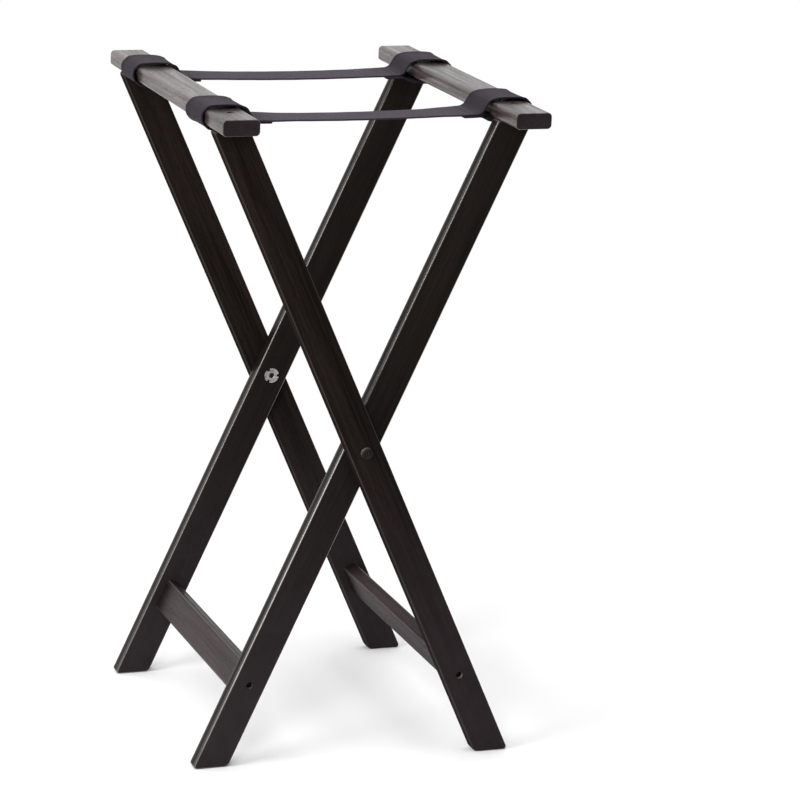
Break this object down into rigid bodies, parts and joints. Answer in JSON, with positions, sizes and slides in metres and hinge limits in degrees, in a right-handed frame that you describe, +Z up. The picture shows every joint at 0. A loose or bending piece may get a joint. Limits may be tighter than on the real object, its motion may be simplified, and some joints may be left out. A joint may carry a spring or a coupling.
{
  "type": "folding_tray_stand",
  "caption": "Folding wooden tray stand: black-stained crossed leg frames on bolted pivots, with round-edged rails joined by webbing straps",
  "frame": {"origin": "On the floor, below the middle of the open stand", "axes": "X runs across the stand from the outer frame's rail to the inner frame's rail, Y along the rails and the pivot axis from front to rear, Z up"},
  "size_m": [0.4042, 0.485, 0.7925],
  "materials": {
    "stained_wood": "satin black-brown stain",
    "webbing": "plain woven webbing",
    "black_steel": "satin black",
    "zinc_steel": "bright zinc plate"
  },
  "bodies": {
    "outer_frame": {"outer_leg_front": "stained_wood", "outer_leg_rear": "stained_wood", "outer_top_rail": "stained_wood", "outer_stretcher": "stained_wood", "outer_rail_screw_front": "black_steel", "outer_rail_screw_rear": "black_steel", "outer_stretcher_screw_front": "black_steel", "outer_stretcher_screw_rear": "black_steel", "strap_front": "webbing", "strap_rear": "webbing"},
    "inner_frame": {"inner_leg_front": "stained_wood", "inner_leg_rear": "stained_wood", "inner_top_rail": "stained_wood", "inner_stretcher": "stained_wood", "inner_rail_screw_front": "black_steel", "inner_rail_screw_rear": "black_steel", "inner_stretcher_screw_front": "black_steel", "inner_stretcher_screw_rear": "black_steel", "pivot_bolt_front": "black_steel", "pivot_bolt_rear": "black_steel", "tee_nut_front": "zinc_steel", "tee_nut_rear": "zinc_steel", "spacer_washer_front": "zinc_steel", "spacer_washer_rear": "zinc_steel"}
  },
  "joints": [
    {"name": "fold", "type": "hinge", "parent": "outer_frame", "child": "inner_frame", "pos_m": [0, 0, 0.384], "axis": [0, -1, 0], "range_deg": [0, 40], "deforming": ["strap_front", "strap_rear"]}
  ]
}
